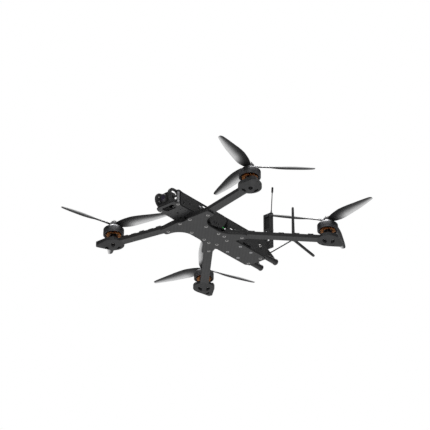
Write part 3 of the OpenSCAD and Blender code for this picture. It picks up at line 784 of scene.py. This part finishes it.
def wind_pole(coils, turn):
    """Loops of enamelled wire round one pole."""
    middle = sum(CORE_Z) / 2
    tall = (CORE_Z[1] - CORE_Z[0]) / 2 + END_TURN - 0.56
    loops, wire_r, wire_steps = 6, 0.44, 6
    out = turn.to_3x3() @ Vector((1, 0, 0))
    for j in range(loops):
        radial = 7.6 + 0.86 * j
        half_w = 1.45 + 0.3 * j / 5 if j < loops - 1 else 1.45
        centre = turn @ Vector((radial, 0, middle))
        rings = []
        for q in rounded(half_w, tall + 0.12 * (j % 2), 1.0, 0, 4):
            p = turn @ Vector((radial, q.x, middle + q.y))
            away = (p - centre).normalized()
            rings.append([p + wire_r * (math.cos(t) * away + math.sin(t) * out)
                          for t in (2 * math.pi * k / wire_steps for k in range(wire_steps))])
        coils.loft(rings, None, loop=True)


def make_motors():
    """Stators with their windings, and the bells that turn round them."""
    coils = Shape()
    shoe = [(13.7, d) for d in (-12, -6, 0, 6, 12)] + [(12.95, d) for d in (12, 6, 0, -6, -12)]
    for name, x, y, root_x, root_y, *rest in MOTORS:
        heading = math.degrees(math.atan2(y - root_y, x - root_x))
        place = at(x, y)
        make_bell(name, place)
        poles = Shape()
        for i in range(POLES):
            turn = place @ at(0, 0, 0, heading + 360 * i / POLES)
            poles.loft([[Vector((r * math.cos(math.radians(d)), r * math.sin(math.radians(d)), z))
                         for r, d in shoe] for z in CORE_Z], turn)
            wind_pole(coils, turn)
        poles.piece("stator_poles_" + name, BASE_METAL, slot="motor_grey")
        softened("motor_base_" + name, 0.15, BASE_METAL)
    coils.piece("windings", COPPER, slot="copper", smooth=60, replaces=["stator_windings"])


# ---- Propellers ---------------------------------------------------------

# Share of the radius, chord, sideways sweep and thickness of each blade station
STATIONS = [
    (0.045, 0.085, 0.000, 0.046), (0.10, 0.122, 0.000, 0.045), (0.16, 0.152, 0.000, 0.038),
    (0.26, 0.180, 0.000, 0.031), (0.38, 0.190, 0.005, 0.026), (0.52, 0.182, 0.005, 0.021),
    (0.66, 0.160, 0.000, 0.017), (0.80, 0.128, 0.000, 0.012), (0.92, 0.092, 0.000, 0.010),
    (0.975, 0.068, -0.002, 0.008), (0.995, 0.045, -0.005, 0.007),
]
# The blades run from ROOT to ROOT + SPAN, as shares of the radius
ROOT, SPAN = STATIONS[0][0], 0.95


def between(table, t):
    """Smooth values at station t by a Catmull-Rom curve through the table."""
    i = max(k for k in range(len(table) - 1) if table[k][0] <= t or k == 0)
    p0, p1 = table[max(i - 1, 0)], table[i]
    p2, p3 = table[i + 1], table[min(i + 2, len(table) - 1)]
    u = (t - p1[0]) / (p2[0] - p1[0])
    values = []
    for c in range(1, len(p1)):
        m1 = (p2[c] - p0[c]) / max(p2[0] - p0[0], 1e-6) * (p2[0] - p1[0])
        m2 = (p3[c] - p1[c]) / max(p3[0] - p1[0], 1e-6) * (p2[0] - p1[0])
        values.append((2 * u**3 - 3 * u**2 + 1) * p1[c] + (u**3 - 2 * u**2 + u) * m1
                      + (-2 * u**3 + 3 * u**2) * p2[c] + (u**3 - u**2) * m2)
    return values


SIDE_STEPS = 11


def blade_section(t):
    """Points round one section, with the place across the chord of each."""
    chord, sweep, thick = (v * PROP_R for v in between(STATIONS, t))
    r = t * PROP_R
    pitch = min(PITCH_LIMIT, math.atan(PROP_PITCH / (2 * math.pi * max(r, 12))))
    blunt = max(0.0, 1 - (t - ROOT) / 0.14)
    points = []
    for k in range(2 * SIDE_STEPS):
        upper = k < SIDE_STEPS
        u = k / SIDE_STEPS if upper else 2 - k / SIDE_STEPS
        place = 0.5 - 0.5 * math.cos(math.pi * u)
        foil = 2.6 * (0.2969 * math.sqrt(place) - 0.126 * place - 0.3516 * place**2
                      + 0.2843 * place**3 - 0.0955 * place**4)
        oval = math.sqrt(max(1 - (2 * place - 1) ** 2, 0)) * 0.5
        half = thick * ((1 - blunt) * foil + blunt * oval) + 0.1 * (1 - abs(2 * place - 1))
        camber = 0.045 * chord * 4 * place * (1 - place) * (1 - blunt)
        along = (place - 0.5) * chord
        v = camber + (half if upper else -half * 0.75)
        points.append((Vector((r, sweep - along * math.cos(pitch) - v * math.sin(pitch),
                               -along * math.sin(pitch) + v * math.cos(pitch))), place))
    return points


def make_blades(name, x, y, spin, phase):
    """The three blades of one propeller, with their UV map."""
    steps = 40
    rows = [ROOT + SPAN * i / steps for i in range(steps + 1)]
    sections = [blade_section(t) for t in rows]
    count = len(sections[0])
    s = Shape()
    for blade in range(BLADES):
        turn = at(x, y, BLADE_Z, phase + 360 / BLADES * blade) @ Matrix.Diagonal((1, spin, 1, 1))
        base = s.loft([[p for p, across in section] for section in sections], turn)
        for i, section in enumerate(sections):
            for k, (p, across) in enumerate(section):
                s.uvs[base + i * count + k] = (across, rows[i])
    s.piece("blades_" + name, BLADE, "rotor_" + name, smooth=50, slot="smoke_blade")


def make_props():
    """Blades, hub and lock nut of each motor."""
    for name, x, y, root_x, root_y, spin, phase in MOTORS:
        rotor = "rotor_" + name
        make_blades(name, x, y, spin, phase)
        s = Shape()
        s.lathe([(2.55, 0.1), (6.2, 0), (6.7, 0.4), (6.8, 1.2), (6.8, 6.2), (6.5, 6.9), (6.0, HUB_H),
                 (4.2, HUB_H), (3.9, HUB_H - 0.5), (2.6, HUB_H - 0.5)], at(x, y, PROP_Z), loop=True)
        s.piece("hub_" + name, HUB, rotor, slot="smoke_blade", replaces=["prop_" + name])
        s = Shape()
        s.loft([ring(SHAFT_R, 0), ring(5.2, 0), ring(5.4, 0.2), ring(5.4, 0.55), ring(5.0, 0.85),
                hexagon(4.45, 0.95), hexagon(4.4, 2.9), hexagon(4.25, 3.1), ring(3.55, 3.1),
                ring(3.5, 3.75), ring(3.1, 4.0), ring(SHAFT_R, 4.0)],
               at(x, y, PROP_Z + HUB_H), loop=True)
        s.piece("nut_%s_part" % name, STEEL, rotor, slot="steel", replaces=["nut_" + name])


# ---- Wires on the arms --------------------------------------------------

def wire_tie(ties, place):
    """A strap round the wires at place, with a padded head on top."""
    middle = (0, MID_Z + 1.45)
    outer = [Vector((0, p.x, p.y)) for p in rounded(3.9, 1.75, 1.0, 0, 4, middle)]
    inner = [Vector((0, p.x, p.y)) for p in rounded(3.45, 1.3, 0.7, 0, 4, middle)]
    half = Vector((1.2, 0, 0))
    ties.loft([[p - half for p in outer], [p + half for p in outer],
               [p + half for p in inner], [p - half for p in inner]], place, loop=True)
    head = random.uniform(-2.4, 0.6)
    ties.box((-4.5, head, MID_Z + 2.7), (4.5, head + 4, MID_Z + 4.4), 0.7, place)


def make_wires():
    """Three sleeved wires on top of each arm, tied in five places."""
    random.seed(7)
    sleeve, ties = Shape(), Shape()
    steps, lane_gap = 59, 2.0
    for name, x, y, root_x, root_y, *rest in MOTORS:
        heading = math.degrees(math.atan2(y - root_y, x - root_x))
        length = math.hypot(x - root_x, y - root_y)
        place = at(x, y, 0, heading)
        near, far = -17.0, -(length - 43)
        for lane in (-1, 0, 1):
            path = []
            for i in range(steps + 1):
                t = i / steps
                wobble = 0.25 * noise.noise(Vector((t * 9, lane * 5, x)))
                path.append(place @ Vector((near + (far - near) * t, lane * lane_gap + wobble,
                                            MID_Z + 1.15 + 0.5 * abs(wobble))))
            sleeve.tube(path, lambda t: 1.08 + 0.12 * math.sin(t * 90), 10)
        for share in (0.1, 0.3, 0.52, 0.74, 0.94):
            wire_tie(ties, place @ at(near + (far - near) * share, 0))
    sleeve.piece("arm_wires_part", BRAID, slot="wire_sleeve", smooth=60, replaces=["arm_wires"])
    ties.piece("arm_ties", TIE, slot="printed_tpu")


# ---- Sides and tail -----------------------------------------------------

def make_sides():
    """Side panels and pods, and the tail mount with its two tubes."""
    white_x, white_half = 21.2, 0.5
    for side, sign in (("left", 1), ("right", -1)):
        softened("side_panel_front_" + side, 0.5, PRINTED)
        softened("side_panel_rear_" + side, 0.4, PRINTED)
        softened("side_pod_" + side, 1.0, PRINTED, segments=4)
        s = Shape()
        s.box((sign * white_x - white_half, -83.5, 24),
              (sign * white_x + white_half, -78.5, 26.4), 0.3)
        s.piece("white_tie_" + side, WHITE_TIE, slot="printed_tpu")
    softened("tail_mount", 0.5, PRINTED)
    s = Shape()
    for sign in (1, -1):
        place = at(sign * TUBE_X, TAIL_Y, TUBE_Z) @ BACKWARD
        s.lathe([(TUBE_BORE_R, 0), (TUBE_R, 0), (TUBE_R, 22.6), (5.2, 22.9), (TUBE_END_R, 23.3),
                 (TUBE_END_R, 25.4), (5.1, 25.8), (4.6, TUBE_L), (3.6, TUBE_L), (3.25, 25.7),
                 (TUBE_BORE_R, 25)], place, loop=True)
    s.piece("tail_tubes_part", PRINTED, slot="printed_tpu", replaces=["tail_tubes"])


# ---- Camera -------------------------------------------------------------

def make_camera_block():
    """The camera in its two side plates."""
    on = Matrix.Translation(PIVOT) @ Matrix.Rotation(TILT, 4, "X")
    forward = on @ Matrix.Translation((0, 0, LENS_Z)) @ FORWARD
    for side in ("left", "right"):
        softened("camera_plate_" + side, 0.5, PRINTED)
    softened("camera_cross_bars", 0.3, PRINTED)
    softened("camera_housing", 0.6, CAMERA, "camera", 3)
    s = Shape()
    grip = [(6.3 - (0.22 if k % 2 else 0), 10.4 + 0.25 * k) for k in range(7)]
    s.lathe([(4.2, 4), (5.5, 4), (5.5, 9.8), (5.8, 10.1), (6.25, 10.3)] + grip
            + [(6.1, 12.4), (5.7, 12.75), (5.1, 12.6), (4.95, 12.0), (4.2, 11.6)],
            forward, 64, loop=True)
    s.piece("lens_barrel_part", CAMERA, "camera", slot="camera_black", replaces=["lens_barrel"])
    s = Shape()
    s.lathe([(4.9, 11.0), (4.9, 11.4), (4.4, 11.75), (3.6, 12.05), (2.7, 12.25), (1.7, 12.36),
             (0.6, 12.4)], forward, 64)
    s.piece("lens_glass_part", LENS, "camera", slot="lens", replaces=["lens_glass"])
    s = Shape()
    for sign in (1, -1):
        side = on @ Matrix.Rotation(sign * math.pi / 2, 4, "Y")
        s.lathe([(1.35, 6.5), (1.4, 7), (1.4, 15.2)], side, 24)
        inward = side @ Matrix.Translation((0, 0, 14.7)) @ Matrix.Rotation(math.pi, 4, "X")
        button_screw(s, inward, 1.0, 1.38, 0.6)
    s.piece("camera_screws_part", STEEL, "camera", slot="steel", replaces=["camera_screws"])


# ---- Electronics --------------------------------------------------------

def make_electronics():
    """Boards with their small parts, and the units between the plates."""
    random.seed(11)
    mid_y = sum(STACK_Y) / 2
    softened("speed_controller", 0.12, BOARD)
    softened("flight_controller", 0.12, BOARD)
    chips = Shape()
    for z in (LOW_BOARD_Z, HIGH_BOARD_Z):
        for _ in range(46):
            x, y = random.uniform(-11.5, 11.5), random.uniform(-16, 16)
            w, d = random.choice([(0.5, 1.0), (1.0, 0.5), (0.8, 1.6), (1.8, 1.8)])
            h = random.uniform(0.4, 0.9)
            chips.box((x - w, mid_y + y - d, z - 0.05), (x + w, mid_y + y + d, z + h), 0.08)
    chips.piece("board_parts", CHIPS, slot="circuit_board")
    pads = Shape()
    pads_a_side, row_half, low, high = 8, 12, LOW_BOARD_Z - 0.05, LOW_BOARD_Z + 0.3
    for sign in (-1, 1):
        for k in range(pads_a_side):
            x = sign * 17.2
            y = mid_y - row_half + 2 * row_half * k / (pads_a_side - 1)
            pads.box((x - 0.9, y - 0.7, low), (x + 0.7, y + 0.7, high), 0.1)
    pads.piece("board_pads", ALUMINIUM, slot="circuit_board")
    softened("video_transmitter", 0.25, HEAT_SINK)
    softened("radio_receiver", 0.2, BOARD)
    softened("status_led", 0.3, LED)
    s = Shape()
    s.lathe([(4.4, 0.3), (5.6, 0), (6.2, 0.4), (6.3, 1.2), (6.3, 2.6), (5.9, 3.1), (5.9, 3.5),
             (6.3, 4.0), (6.3, 21), (6.0, 21.8), (5.2, 22), (5.0, 21.6)],
            Matrix.Translation(CAPACITOR) @ BACKWARD)
    s.piece("capacitor_part", SLEEVE, slot="capacitor_sleeve", replaces=["capacitor"])


# ---- Mast and antennas --------------------------------------------------

def make_antennas():
    """The mast with its module and whip, and the two-element antenna on its stem."""
    softened("antenna_mast", 0.5, PRINTED)
    softened("mast_module", 0.4, CAMERA)
    s = Shape()
    foot = Matrix.Translation(WHIP_FOOT)
    s.lathe([(1.3, 0), (1.6, 0.2), (1.6, 2.6), (1.2, 3.0)], foot, 24)
    whip = foot @ Matrix.Translation((0, 0, 1)) @ Matrix.Rotation(math.radians(WHIP_LEAN), 4, "Y")
    s.lathe([(1.2, 0), (1.1, 4), (0.8, 6), (0.8, 38), (1.4, 38.8), (1.7, 39.5), (1.7, 47.4),
             (1.4, 48.5), (0.7, 48.9)], whip, 20)
    s.piece("whip_antenna_part", ANTENNA, slot="antenna_black", replaces=["whip_antenna"])

    s = Shape()
    s.tube([STEM_FOOT.lerp(TEE, i / 12) for i in range(13)], STEM_R, 14)
    upright = Matrix.Translation(TEE)
    s.lathe([(1.6, -3.0), (2.6, -2.5), (3.0, -1.6), (3.0, 1.8), (2.9, 2.5), (2.75, 4), (2.65, 12),
             (2.4, 34), (2.1, 56), (2.0, 61), (1.6, 62.4), (0.8, 63)], upright, 32)
    level = (upright @ Matrix.Rotation(math.radians(LEVEL_TURN), 4, "Z")
             @ Matrix.Rotation(math.pi / 2, 4, "Y"))
    s.lathe([(2.4, 0), (2.4, 65), (2.3, 69), (1.8, 70.5), (1.0, 71)], level, 32)
    s.piece("t_antenna_part", ANTENNA, slot="antenna_black", replaces=["t_antenna"])


make_screws()
make_frame()
make_motors()
make_props()
make_wires()
make_sides()
make_camera_block()
make_electronics()
make_antennas()
